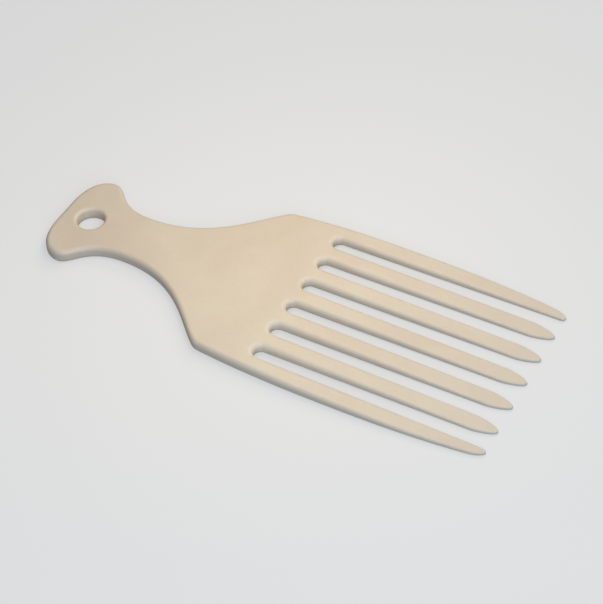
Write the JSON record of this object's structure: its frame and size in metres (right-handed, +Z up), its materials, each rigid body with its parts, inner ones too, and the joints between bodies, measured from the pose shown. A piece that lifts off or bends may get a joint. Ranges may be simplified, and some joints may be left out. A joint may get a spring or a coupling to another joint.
{
  "type": "afro pick",
  "caption": "Flat one-piece pick comb: a waisted handle with a hanging hole in its flared head, and a row of long teeth that taper and thin towards their tips.",
  "frame": {"origin": "middle of the comb's length and width, on the surface it lies on", "axes": "+X from the head of the handle to the tooth tips, +Y across the teeth, +Z up from the flat underside to the sloping top face"},
  "size_m": [0.1644, 0.0688, 0.0047],
  "materials": {
    "ivory_plastic": "satin, warm ivory, softly rounded edges"
  },
  "bodies": {
    "root": {"handle": "ivory_plastic", "shoulder_plate": "ivory_plastic", "tooth_1": "ivory_plastic", "tooth_2": "ivory_plastic", "tooth_3": "ivory_plastic", "tooth_4": "ivory_plastic", "tooth_5": "ivory_plastic", "tooth_6": "ivory_plastic", "tooth_7": "ivory_plastic"}
  },
  "joints": []
}
